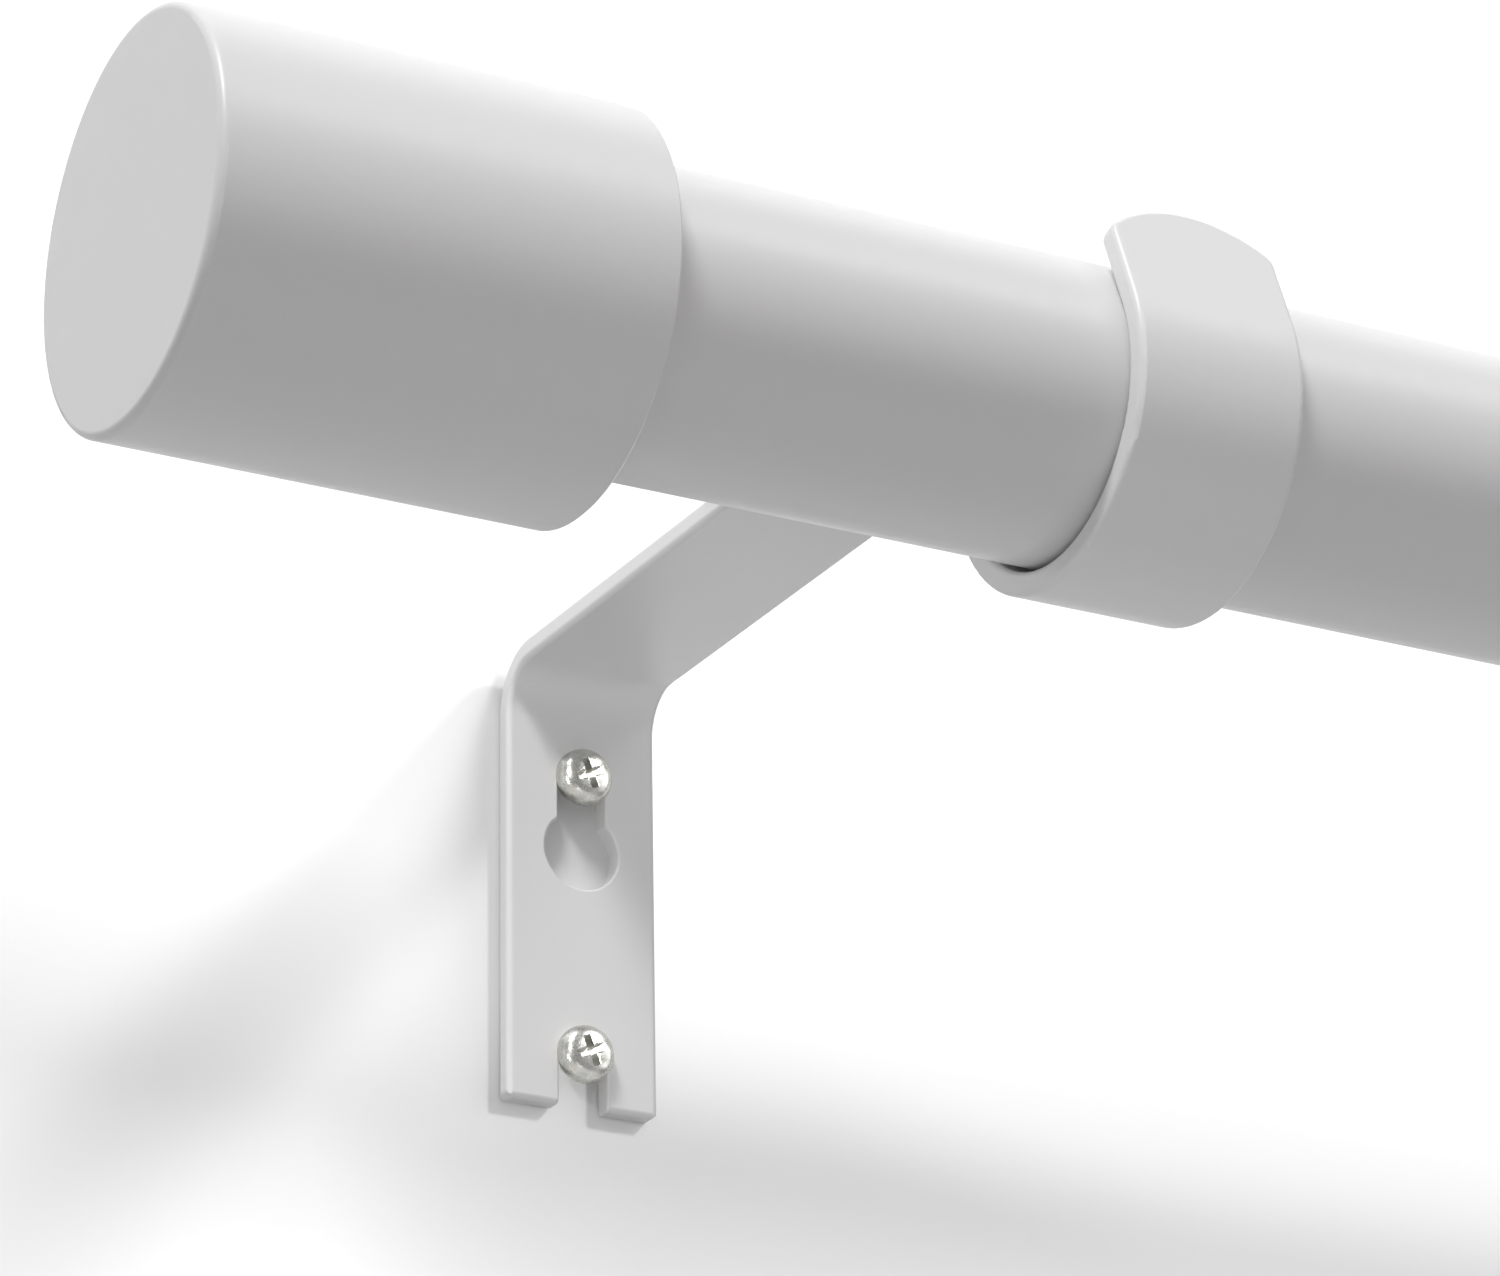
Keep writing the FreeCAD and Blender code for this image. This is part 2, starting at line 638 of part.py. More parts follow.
def screw(name, x, z):
    """A pan-head screw with a cross recess, driven through the wall plate."""
    body = new_body(name, x, "-$strip_thick", z)
    profile = new_sketch(body, "profile", "YZ_Plane")
    radius = "($head_dia / 2)"
    crown = "($head_height - $head_edge)"
    dome = f"(({radius} ^ 2 + {crown} ^ 2) / (2 * {crown}))"
    neck = "($neck_dia / 2)"
    neck_end = "($strip_thick + $neck_spare)"
    thread = "($screw_dia / 2)"
    draw(
        profile,
        ("-$head_height", "0"),
        Arc("-$head_edge", radius, f"-$head_height + {dome}", "0", clockwise=True),
        ("0", radius),
        ("0", neck),
        (neck_end, neck),
        (f"{neck_end} + {thread} - {neck}", thread),
        ("$screw_length - $screw_point", thread),
        ("$screw_length", "0"),
    )
    revolve(body, profile)
    recess = new_sketch(body, "recess", "XZ_Plane")
    bind(recess, "AttachmentOffset.Base.z", "$head_height")
    reach = "($recess_span / 2)"
    half = "($recess_width / 2)"
    draw(
        recess,
        (reach, half),
        (half, half),
        (half, reach),
        (f"-{half}", reach),
        (f"-{half}", half),
        (f"-{reach}", half),
        (f"-{reach}", f"-{half}"),
        (f"-{half}", f"-{half}"),
        (f"-{half}", f"-{reach}"),
        (half, f"-{reach}"),
        (half, f"-{half}"),
        (reach, f"-{half}"),
    )
    cut = body.newObject("PartDesign::Pocket", name + "_recess_cut")
    cut.Profile = recess
    bind(cut, "Length", "$recess_depth")
    return body


def build():
    """Makes every piece of the rod and returns the bodies."""
    bodies = [
        tube("outer_tube", TUBE_START, TUBE_LENGTH, TUBE_RADIUS, TUBE_BORE),
        tube("inner_tube", INNER_START, INNER_LENGTH, INNER_RADIUS, INNER_BORE),
        mouth_ring(),
        tube_guide(),
    ]
    ends = (
        ("left", "0", "0", TUBE_RADIUS),
        ("right", RIGHT_BRACKET_X, RIGHT_BRACKET_Z, INNER_RADIUS),
    )
    for side, x, z, tube_radius in ends:
        on_left = side == "left"
        bodies.append(finial_cap(f"{side}_finial_cap", on_left))
        bodies.append(finial_liner(f"{side}_finial_liner", on_left, tube_radius))
        bodies.append(bracket(f"{side}_bracket", x, z))
        bodies.append(screw(f"{side}_upper_screw", x, f"{z} + {UPPER_SCREW}"))
        bodies.append(screw(f"{side}_lower_screw", x, f"{z} + {LOWER_SCREW}"))
    return bodies


def check(bodies):
    """Stops if a feature failed or a piece isn't one sound solid."""
    failed = [item.Label for item in document.Objects
              if "Invalid" in item.State or "Error" in item.State]
    if failed:
        raise RuntimeError("these features failed: " + ", ".join(failed))
    for body in bodies:
        shape = body.Shape
        if shape.isNull() or not shape.isValid() or len(shape.Solids) != 1:
            raise RuntimeError(body.Label + " isn't one sound solid")


def export(bodies):
    """Writes each piece to its own file, named after the piece."""
    os.makedirs(PARTS_FOLDER, exist_ok=True)
    for body in bodies:
        body.Shape.exportStep(os.path.join(PARTS_FOLDER, body.Label + ".step"))
        box = body.Shape.BoundBox
        print(f"{body.Label}: {body.Shape.Volume:.1f} mm3, x {box.XMin:.2f} to {box.XMax:.2f},"
              f" y {box.YMin:.2f} to {box.YMax:.2f}, z {box.ZMin:.2f} to {box.ZMax:.2f}")


fill_sheet()
pieces = build()
document.recompute()
check(pieces)
export(pieces)
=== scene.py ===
# %% [markdown]
# # A telescoping curtain rod on its wall brackets
#
# The rod is made of a few plain things: two steel tubes that slide in one another,
# a drum finial on each end, and two brackets bent from flat strip, each held by
# two zinc screws. All metal but the screws is white satin powder coat.
#
# The sizes come from the CAD model, which is loaded first and stays as it is. This
# file gives it its finishes, its fine detail, a wall, lights and a camera.

import json
import math

import bmesh
import bpy
from mathutils import Matrix, Vector

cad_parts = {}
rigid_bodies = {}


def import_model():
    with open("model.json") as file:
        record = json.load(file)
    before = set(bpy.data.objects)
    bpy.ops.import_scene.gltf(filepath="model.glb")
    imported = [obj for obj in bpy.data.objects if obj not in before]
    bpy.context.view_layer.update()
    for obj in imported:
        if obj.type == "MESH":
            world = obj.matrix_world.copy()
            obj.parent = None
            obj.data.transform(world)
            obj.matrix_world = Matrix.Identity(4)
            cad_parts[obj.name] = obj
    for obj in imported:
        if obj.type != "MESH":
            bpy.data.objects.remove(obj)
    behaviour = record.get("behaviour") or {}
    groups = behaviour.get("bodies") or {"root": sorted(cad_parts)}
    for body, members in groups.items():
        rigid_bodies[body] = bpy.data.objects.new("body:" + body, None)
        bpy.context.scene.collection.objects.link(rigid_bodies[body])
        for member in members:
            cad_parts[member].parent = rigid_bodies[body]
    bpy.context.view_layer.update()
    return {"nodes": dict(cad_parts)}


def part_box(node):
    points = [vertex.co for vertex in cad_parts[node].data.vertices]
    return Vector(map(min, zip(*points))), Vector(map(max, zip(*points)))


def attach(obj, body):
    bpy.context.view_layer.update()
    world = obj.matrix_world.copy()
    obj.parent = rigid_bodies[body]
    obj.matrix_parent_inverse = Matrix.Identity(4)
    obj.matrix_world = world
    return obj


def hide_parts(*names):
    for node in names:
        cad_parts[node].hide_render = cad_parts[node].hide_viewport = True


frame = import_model()
nodes = frame["nodes"]

MM = 0.001

# %% [markdown]
# ## Camera
#
# A product photograph of a long thing is usually taken from far off with a long lens, so
# that parallel edges stay nearly parallel. The camera's place could be found by eye, but
# here it was worked out from the edges of the rod, the cap and the bracket in the
# picture: it stands about half a metre off, low and to the left, and looks up at the
# hook. The frame is 1500 pixels wide, and the focal length was found in pixels, so
# the lens in millimetres is that length as a share of the 36 mm sensor.

# %% The photograph's camera
FOCAL_PIXELS = 6538.4
FRAME_WIDTH = 1500
SENSOR = 36.0
CAMERA_PLACE = Vector((-262.09, -510.65, -212.98)) * MM
LOOK = Vector((0.44507, 0.80718, 0.38778))
ROLL = math.radians(-0.964)
NEAREST_SEEN = 10 * MM

right = LOOK.cross(Vector((0, 0, 1))).normalized()
up = right.cross(LOOK)
tilted_right = right * math.cos(ROLL) + up * math.sin(ROLL)
tilted_up = up * math.cos(ROLL) - right * math.sin(ROLL)

camera_data = bpy.data.cameras.new("camera")
camera_data.sensor_width = SENSOR
camera_data.lens = FOCAL_PIXELS / FRAME_WIDTH * SENSOR
camera_data.clip_start = NEAREST_SEEN
camera = bpy.data.objects.new("camera", camera_data)
turn = Matrix((tilted_right, tilted_up, -LOOK)).transposed().to_4x4()
camera.matrix_world = Matrix.Translation(CAMERA_PLACE) @ turn
bpy.context.scene.collection.objects.link(camera)
bpy.context.scene.camera = camera
bpy.context.scene.view_settings.view_transform = "Standard"
print("lens:", round(camera_data.lens, 1), "mm")

# %% [markdown]
# ## Three small tools for materials
#
# Colours are given as sRGB hex values, but the shader works in linear light, so
# one function turns hex to linear. Another adds a node, sets its values and makes its
# links in one go, which keeps each material short enough to read. The third starts an
# empty material.

# %% Colour and node helpers


def linear(hex_colour):
    """An sRGB hex colour such as "e6e6e4" as linear red, green, blue and full alpha."""
    shares = [int(hex_colour[i : i + 2], 16) / 255 for i in (0, 2, 4)]
    curved = [s / 12.92 if s <= 0.04045 else ((s + 0.055) / 1.055) ** 2.4 for s in shares]
    return (*curved, 1.0)


def add_node(material, kind, inputs=None, **settings):
    """Adds a node; an input's value is set, or linked where it is another node's output."""
    tree = material.node_tree
    node = tree.nodes.new(kind)
    for name, setting in settings.items():
        setattr(node, name, setting)
    for name, given in (inputs or {}).items():
        if isinstance(given, bpy.types.NodeSocket):
            tree.links.new(given, node.inputs[name])
        else:
            node.inputs[name].default_value = given
    return node


def new_material(name):
    """An empty node material and its output node."""
    material = bpy.data.materials.new(name)
    material.use_nodes = True
    material.node_tree.nodes.clear()
    return material, add_node(material, "ShaderNodeOutputMaterial")


# %% [markdown]
# ## White satin powder coat
#
# The tubes, finials and brackets are steel with a baked powder coat. Dry polyester
# powder is sprayed on, and in the oven it melts into a skin about 0.08 mm thick. It
# flows a little, so it keeps a faint waviness like orange peel, with crests 1 to 2 mm
# apart, and a satin one has a soft, wide highlight.
#
# A plain diffuse colour would look like chalk. The principled shader with polyester's
# IOR of 1.5 and a middle roughness gives the wide highlight. Two noises do the rest:
# one as fine as the orange peel tilts the surface a very little, and a broad one lets
# tone and gloss drift as they do where the spray was a bit thicker.

# %% Powder coat
ORANGE_PEEL = 1.6 * MM
PEEL_DEPTH = 0.01 * MM
SPRAY_DRIFT = 45 * MM


def powder_coat(name):
    """White satin polyester powder coat on steel."""
    material, output = new_material(name)
    place = add_node(material, "ShaderNodeTexCoord").outputs["Object"]
    peel = add_node(
        material,
        "ShaderNodeTexNoise",
        {"Vector": place, "Scale": 1 / ORANGE_PEEL, "Detail": 2.0, "Roughness": 0.4},
    ).outputs["Fac"]
    drift = add_node(
        material,
        "ShaderNodeTexNoise",
        {"Vector": place, "Scale": 1 / SPRAY_DRIFT, "Detail": 3.0},
    ).outputs["Fac"]
    tone = add_node(
        material,
        "ShaderNodeMix",
        {"Factor": drift, 6: linear("e4e4e4"), 7: linear("e8e8e7")},
        data_type="RGBA",
    ).outputs[2]
    both = add_node(
        material, "ShaderNodeMath", {0: peel, 1: drift}, operation="ADD"
    ).outputs["Value"]
    gloss = add_node(
        material,
        "ShaderNodeMapRange",
        {"Value": both, "From Min": 0.7, "From Max": 1.3, "To Min": 0.33, "To Max": 0.41},
    ).outputs["Result"]
    bump = add_node(
        material,
        "ShaderNodeBump",
        {"Height": peel, "Strength": 0.35, "Distance": PEEL_DEPTH},
    ).outputs["Normal"]
    shader = add_node(
        material,
        "ShaderNodeBsdfPrincipled",
        {"Base Color": tone, "Roughness": gloss, "IOR": 1.5, "Normal": bump},
    )
    material.node_tree.links.new(shader.outputs["BSDF"], output.inputs["Surface"])
    return material


def dress(material, *names):
    """Gives CAD nodes their finish."""
    for name in names:
        slots = nodes[name].data.materials
        slots.clear()
        slots.append(material)
    print(material.name, "on", ", ".join(names))


dress(
    powder_coat("white_satin_powder_coat"),
    "outer_tube",
    "inner_tube",
    "left_finial_cap",
    "right_finial_cap",
    "left_bracket",
    "right_bracket",
)

# %% [markdown]
# ## Moulded plastic
#
# The ring in the tube's mouth, the guide inside it and the liners in the finials are
# injection-moulded polypropylene, which is cheap, tough and slides well on paint. Such
# inner parts come from a spark-eroded mould, which leaves them an even fine grain with
# pits about 0.3 mm apart and a dull gloss. Its IOR is 1.49.
#
# Cells with random places look like that grain, and plain noise would look cloudy, so
# a Voronoi texture gives the bump. The ring can be seen, so it is white as the rod is.

# %% Moulded polypropylene
SPARK_GRAIN = 0.3 * MM
PIT_DEPTH = 0.02 * MM


def moulded_polypropylene(name, pale, dark):
    """Grained polypropylene between two shades."""
    material, output = new_material(name)
    place = add_node(material, "ShaderNodeTexCoord").outputs["Object"]
    pits = add_node(
        material, "ShaderNodeTexVoronoi", {"Vector": place, "Scale": 1 / SPARK_GRAIN}
    ).outputs["Distance"]
    tone = add_node(
        material,
        "ShaderNodeMix",
        {"Factor": pits, 6: linear(pale), 7: linear(dark)},
        data_type="RGBA",
    ).outputs[2]
    gloss = add_node(
        material,
        "ShaderNodeMapRange",
        {"Value": pits, "To Min": 0.45, "To Max": 0.65},
    ).outputs["Result"]
    bump = add_node(
        material,
        "ShaderNodeBump",
        {"Height": pits, "Strength": 0.4, "Distance": PIT_DEPTH},
    ).outputs["Normal"]
    shader = add_node(
        material,
        "ShaderNodeBsdfPrincipled",
        {"Base Color": tone, "Roughness": gloss, "IOR": 1.49, "Normal": bump},
    )
    material.node_tree.links.new(shader.outputs["BSDF"], output.inputs["Surface"])
    return material


dress(
    moulded_polypropylene("white_moulded_polypropylene", "e6e6e3", "d9d9d6"),
    "tube_mouth_ring",
)
dress(
    moulded_polypropylene("natural_moulded_polypropylene", "dcd9cf", "cdc9bd"),
    "inner_tube_guide",
    "left_finial_liner",
    "right_finial_liner",
)

# %% [markdown]
# ## Zinc plating
#
# The screws are steel with bright zinc plating and a clear passivation. Zinc is a bright
# grey metal with a base colour near c6c7c2. The passivation adds patches with a faint green
# or straw tint, and rolling and tumbling leave fine streaks and dents, so highlights on
# it break up.
#
# So the base colour runs between three tints by a noise of about 1.2 mm, and a stretched
# noise gives both the streaks in the gloss and the bump. On the real screw the streaks are
# about 0.05 mm wide. They are drawn at 0.15 mm, because finer ones wouldn't show.
#
# Down in the cross recess the plating is a little duller, because tumbling hardly reaches
# in to polish it. Its colour there is one even shade a little lighter than the zinc's
# average: painted light against the shade down in the recess. The screw's own coordinates
# tell where that is: near its axis and below the top of its head. It grows duller and
# lighter from one height down to the other.

# %% Bright zinc
TINT_PATCH = 1.2 * MM
STREAK_WIDTH = 0.15 * MM
STREAK_STRETCH = 0.12
STREAK_LEAN = math.radians(35)
STREAK_DEPTH = 0.01 * MM
# where the recess is made duller and painted a little lighter against its shade
RECESS_MASK_FROM = 1.86 * MM
RECESS_MASK_BELOW = 1.5 * MM
RECESS_MASK_RADIUS = 1.62 * MM
DULL_ROUGHER = 0.08


def bright_zinc(name):
    """Zinc-plated steel, streaky and faintly tinted."""
    material, output = new_material(name)
    place = add_node(material, "ShaderNodeTexCoord").outputs["Object"]
    patches = add_node(
        material,
        "ShaderNodeTexNoise",
        {"Vector": place, "Scale": 1 / TINT_PATCH, "Detail": 3.0},
    ).outputs["Fac"]
    tint = add_node(material, "ShaderNodeValToRGB", {"Fac": patches})
    ramp = tint.color_ramp.elements
    ramp[0].position = 0.35
    ramp[0].color = linear("b9bab2")
    ramp[1].position = 0.65
    ramp[1].color = linear("d6d4cc")
    ramp.new(0.5).color = linear("c8c9c5")
    height = add_node(material, "ShaderNodeSeparateXYZ", {"Vector": place}).outputs["Z"]
    deep = add_node(
        material,
        "ShaderNodeMapRange",
        {"Value": height, "From Min": RECESS_MASK_FROM, "From Max": RECESS_MASK_BELOW},
    ).outputs["Result"]
    flat = add_node(
        material, "ShaderNodeVectorMath", {0: place, 1: (1, 1, 0)}, operation="MULTIPLY"
    ).outputs["Vector"]
    radius = add_node(
        material, "ShaderNodeVectorMath", {0: flat}, operation="LENGTH"
    ).outputs["Value"]
    near_axis = add_node(
        material, "ShaderNodeMath", {0: radius, 1: RECESS_MASK_RADIUS}, operation="LESS_THAN"
    ).outputs["Value"]
    in_recess = add_node(
        material, "ShaderNodeMath", {0: deep, 1: near_axis}, operation="MULTIPLY"
    ).outputs["Value"]
    # painted light: in the recess the tint gives way to one even shade a little lighter than
    # its average
    colour = add_node(
        material,
        "ShaderNodeMix",
        {"Factor": in_recess, 6: tint.outputs["Color"], 7: linear("cfcfca")},
        data_type="RGBA",
    ).outputs[2]
    stretched = add_node(
        material,
        "ShaderNodeMapping",
        {"Vector": place, "Rotation": (0, STREAK_LEAN, 0), "Scale": (1, 1, STREAK_STRETCH)},
    ).outputs["Vector"]
    streaks = add_node(
        material,
        "ShaderNodeTexNoise",
        {"Vector": stretched, "Scale": 1 / STREAK_WIDTH, "Detail": 3.0},
    ).outputs["Fac"]
    streaked = add_node(
        material,
        "ShaderNodeMapRange",
        {"Value": streaks, "From Min": 0.3, "From Max": 0.7, "To Min": 0.22, "To Max": 0.36},
    ).outputs["Result"]
    gloss = add_node(
        material,
        "ShaderNodeMath",
        {0: in_recess, 1: DULL_ROUGHER, 2: streaked},
        operation="MULTIPLY_ADD",
    ).outputs["Value"]
    bump = add_node(
        material,
        "ShaderNodeBump",
        {"Height": streaks, "Strength": 0.3, "Distance": STREAK_DEPTH},
    ).outputs["Normal"]
    shader = add_node(
        material,
        "ShaderNodeBsdfPrincipled",
        {"Base Color": colour, "Metallic": 1.0, "Roughness": gloss, "Normal": bump},
    )
    material.node_tree.links.new(shader.outputs["BSDF"], output.inputs["Surface"])
    return material


zinc = bright_zinc("bright_zinc_plating")
print("finish for the screws:", zinc.name)

# %% [markdown]
# ## Pan-head screws
#
# The CAD screw is plain, with a simple dome, a straight-walled recess and a smooth shank. A
# real one has a fuller dome, a cross recess that narrows downwards and, behind its bare
# neck, a rolled thread that runs out at the point.
#
# A screw is round but for its recess, so its body is a profile turned about its axis. The
# thread is a ridge of three points carried along a helix, which grows out of the neck
# and sinks into the point. The recess is cut with a boolean, by a cross that narrows
# towards its floor and flares at its top, so that its rim catches the light. The axis
# is drawn along Z here and laid along the wall's normal at the end.

# %% Screw shape
STEPS_AROUND = 64
HEAD_RADIUS = 2.8 * MM
HEAD_HEIGHT = 2.0 * MM
NECK_RADIUS = 1.5 * MM
THREAD_RADIUS = 1.75 * MM
CORE_RADIUS = 1.2 * MM
POINT_LENGTH = 5.0 * MM
BARE_NECK = 3.0 * MM
# the neck narrows to the core from a little before its end to a little past it
NARROWS_BEFORE = 0.3 * MM
NARROWS_PAST = 0.2 * MM
SHARP_FROM = math.radians(32)
HEAD_PROFILE = [
    # shares of the head's radius and height
    (0.0, 1.0),
    (0.3, 0.995),
    (0.5, 0.975),
    (0.66, 0.92),
    (0.8, 0.82),
    (0.9, 0.67),
    (0.965, 0.48),
    (0.995, 0.28),
    (1.0, 0.14),
    (0.985, 0.04),
    (0.94, 0.0),
]
POINT_PROFILE = [
    # shares of the core's radius and of the point's length, from its tip
    (0.62, 0.45),
    (0.22, 0.12),
]


def on_circle(radius, angle, height):
    """A point at an angle round the Z axis."""
    return (radius * math.cos(angle), radius * math.sin(angle), height)


def turned(profile):
    """A closed mesh from a (radius, height) profile that starts and ends on the axis."""
    mesh = bmesh.new()
    angles = [2 * math.pi * step / STEPS_AROUND for step in range(STEPS_AROUND)]
    rings = []
    for radius, height in profile:
        if radius == 0:
            rings.append([mesh.verts.new((0, 0, height))])
        else:
            rings.append([mesh.verts.new(on_circle(radius, t, height)) for t in angles])
    for upper, lower in zip(rings, rings[1:]):
        for step in range(STEPS_AROUND):
            after = (step + 1) % STEPS_AROUND
            corners = [upper[step % len(upper)], lower[step % len(lower)]]
            corners += [lower[after % len(lower)], upper[after % len(upper)]]
            mesh.faces.new(list(dict.fromkeys(corners)))
    bmesh.ops.recalc_face_normals(mesh, faces=mesh.faces)
    return mesh


def screw_profile(length):
    """Head, neck, core and point, from the top down; the head's underside is at 0."""
    head = [(r * HEAD_RADIUS, h * HEAD_HEIGHT) for r, h in HEAD_PROFILE]
    shank = [
        (NECK_RADIUS, 0),
        (NECK_RADIUS, -BARE_NECK + NARROWS_BEFORE),
        (CORE_RADIUS, -BARE_NECK - NARROWS_PAST),
        (CORE_RADIUS, -length + POINT_LENGTH),
    ]
    point = [(r * CORE_RADIUS, -length + h * POINT_LENGTH) for r, h in POINT_PROFILE]
    return head + shank + point + [(0, -length)]


THREAD_PITCH = 1.35 * MM
THREAD_STEPS = 28  # to a turn
THREAD_HALF_WIDTH = 0.27 * THREAD_PITCH
THREAD_SUNK = 0.1 * MM
THREAD_END = 0.5 * MM  # from the screw's tip
CORE_AT_TIP = 0.15  # share of the core's radius
CREST_CURVE = 0.8  # below 1, the crest falls late and then fast


def add_thread(mesh, length):
    """A ridge of triangular section along a helix, sunk into the core at both ends."""
    top = -BARE_NECK
    bottom = -length + THREAD_END
    count = int((top - bottom) / THREAD_PITCH * THREAD_STEPS)
    sections = []
    for number in range(count + 1):
        angle = 2 * math.pi * number / THREAD_STEPS
        height = top + (bottom - top) * number / count
        to_point = min(1.0, (height + length) / POINT_LENGTH)
        core = CORE_RADIUS * (CORE_AT_TIP + (1 - CORE_AT_TIP) * to_point) - THREAD_SUNK
        grow = min(1.0, number / THREAD_STEPS, (count - number) / THREAD_STEPS)
        crest = core + (THREAD_RADIUS * to_point**CREST_CURVE - core) * grow
        section = [
            mesh.verts.new(on_circle(core, angle, height + THREAD_HALF_WIDTH)),
            mesh.verts.new(on_circle(crest, angle, height)),
            mesh.verts.new(on_circle(core, angle, height - THREAD_HALF_WIDTH)),
        ]
        sections.append(section)
    for near, far in zip(sections, sections[1:]):
        for side in range(3):
            after = (side + 1) % 3
            mesh.faces.new((near[side], near[after], far[after], far[side]))
    mesh.faces.new(sections[0])
    mesh.faces.new(reversed(sections[-1]))


def as_object(name, mesh):
    """Turns a bmesh into a linked object."""
    data = bpy.data.meshes.new(name)
    mesh.to_mesh(data)
    mesh.free()
    made = bpy.data.objects.new(name, data)
    bpy.context.scene.collection.objects.link(made)
    return made


print("head", HEAD_RADIUS * 2 / MM, "mm wide, thread", THREAD_RADIUS * 2 / MM, "mm")

# %% [markdown]
# The recess has four wings, each as wide as the driver's blade. The cutter is one cross
# outline at five depths, joined from each to the next. In the picture both heads have
# stopped with their cross turned about 22 degrees.

# %% Cross recess
RECESS_TURN = math.radians(22)
RECESS_LEVELS = [
    # in millimetres: height over the top of the head, half span, half width of a wing
    (0.3, 1.72, 0.62),
    (0.0, 1.60, 0.50),
    (-0.14, 1.46, 0.36),
    (-0.85, 1.12, 0.30),
    (-1.35, 0.55, 0.26),
]


def cross_outline(span, width):
    """The twelve corners of a cross, anticlockwise."""
    quarter = [(span, -width), (span, width), (width, width)]
    corners = []
    for wing in range(4):
        angle = wing * math.pi / 2 + RECESS_TURN
        cosine, sine = math.cos(angle), math.sin(angle)
        for x, y in quarter:
            corners.append((x * cosine - y * sine, x * sine + y * cosine))
    return corners


def recess_cutter():
    """A cross-shaped plug that narrows downwards."""
    mesh = bmesh.new()
    rings = []
    for height, span, width in RECESS_LEVELS:
        outline = cross_outline(span, width)
        level = HEAD_HEIGHT + height * MM
        rings.append([mesh.verts.new((x * MM, y * MM, level)) for x, y in outline])
    for upper, lower in zip(rings, rings[1:]):
        for corner in range(len(upper)):
            after = (corner + 1) % len(upper)
            mesh.faces.new((upper[corner], lower[corner], lower[after], upper[after]))
    mesh.faces.new(rings[0])
    mesh.faces.new(reversed(rings[-1]))
    bmesh.ops.recalc_face_normals(mesh, faces=mesh.faces)
    return as_object("recess_cutter", mesh)


def screw_mesh():
    """One whole screw as mesh data, axis along Z and the head's underside at 0."""
    low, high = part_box("left_upper_screw")
    length = high.y - low.y - HEAD_HEIGHT
    blank = as_object("screw_blank", turned(screw_profile(length)))
    cutter = recess_cutter()
    cut = blank.modifiers.new("recess", "BOOLEAN")
    cut.object = cutter
    cut.solver = "EXACT"
    seen = bpy.context.evaluated_depsgraph_get()
    seen.update()
    mesh = bmesh.new()
    mesh.from_mesh(blank.evaluated_get(seen).to_mesh())
    for used in (blank, cutter):
        bpy.data.objects.remove(used)
    add_thread(mesh, length)
    for face in mesh.faces:
        face.smooth = True
    data = bpy.data.meshes.new("pan_head_screw")
    mesh.to_mesh(data)
    mesh.free()
    data.set_sharp_from_angle(angle=SHARP_FROM)
    data.materials.append(zinc)
    print("screw:", len(data.polygons), "faces,", round(length / MM, 1), "mm under its head")
    return data


screw_data = screw_mesh()

# %% [markdown]
# All four screws are the same, so they share one mesh. Each is turned so that its axis
# points into the wall, and its head is laid where the CAD screw's head is.

# %% Screws in their places
INTO_WALL = Matrix.Rotation(math.radians(90), 4, "X")
SCREWS = {
    "left_upper_screw": "fixed_half",
    "left_lower_screw": "fixed_half",
    "right_upper_screw": "drawn_half",
    "right_lower_screw": "drawn_half",
}
for name, body in SCREWS.items():
    low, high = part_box(name)
    screw = bpy.data.objects.new(name.replace("screw", "pan_head_screw"), screw_data)
    bpy.context.scene.collection.objects.link(screw)
    place = Vector(((low.x + high.x) / 2, low.y + HEAD_HEIGHT, (low.z + high.z) / 2))
    screw.matrix_world = Matrix.Translation(place) @ INTO_WALL
    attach(screw, body)
    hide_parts(name)
print("screws:", len(SCREWS))

# %% [markdown]
# ## The wall and the floor
#
# The rod hangs on a white wall, and the picture's wall is pure white with soft grey
# shadows. A plain diffuse white does that. A wall this bright would also throw so much
# light back on the rod that its shaded underside turns white, so for every ray but
# the camera's and the mirror-like ones the same wall is a middle grey. Photographers
# do the same with black cards.
#
# Its back is see-through, so that the part can also be looked at from behind. The plates
# are sunk into it by a fiftieth of a millimetre, so that their backs get light too.

# %% Stage
SEEN_WHITE = 0.9
WALL_BOUNCE = 0.29
FLOOR_BOUNCE = 0.56


def stage_white(name, bounce):
    """A white that keeps shadows, throws less light back, and is see-through from behind."""
    material, output = new_material(name)
    path = add_node(material, "ShaderNodeLightPath")
    seen = path.outputs["Is Camera Ray"]
    for kind in ("Is Glossy Ray", "Is Transmission Ray"):
        seen = add_node(
            material, "ShaderNodeMath", {0: seen, 1: path.outputs[kind]}, operation="MAXIMUM"
        ).outputs["Value"]
    white = add_node(
        material,
        "ShaderNodeMapRange",
        {"Value": seen, "To Min": bounce, "To Max": SEEN_WHITE},
    )
    paint = add_node(material, "ShaderNodeBsdfDiffuse", {"Color": white.outputs["Result"]})
    back = add_node(material, "ShaderNodeBsdfTransparent")
    side = add_node(material, "ShaderNodeNewGeometry")
    both = add_node(
        material,
        "ShaderNodeMixShader",
        {0: side.outputs["Backfacing"], 1: paint.outputs["BSDF"], 2: back.outputs["BSDF"]},
    )
    material.node_tree.links.new(both.outputs["Shader"], output.inputs["Surface"])
    return material


def stage_plane(name, corners, material):
    """A flat piece of the stage, its front where its four corners run anticlockwise."""
    mesh = bpy.data.meshes.new(name)
    mesh.from_pydata(corners, [], [(0, 1, 2, 3)])
    mesh.materials.append(material)
    plane = bpy.data.objects.new(name, mesh)
    bpy.context.scene.collection.objects.link(plane)
    return plane


def upright(left_x, right_x, y, foot, top):
    """The corners of an upright piece of wall that looks out into the room."""
    return [(left_x, y, foot), (right_x, y, foot), (right_x, y, top), (left_x, y, top)]


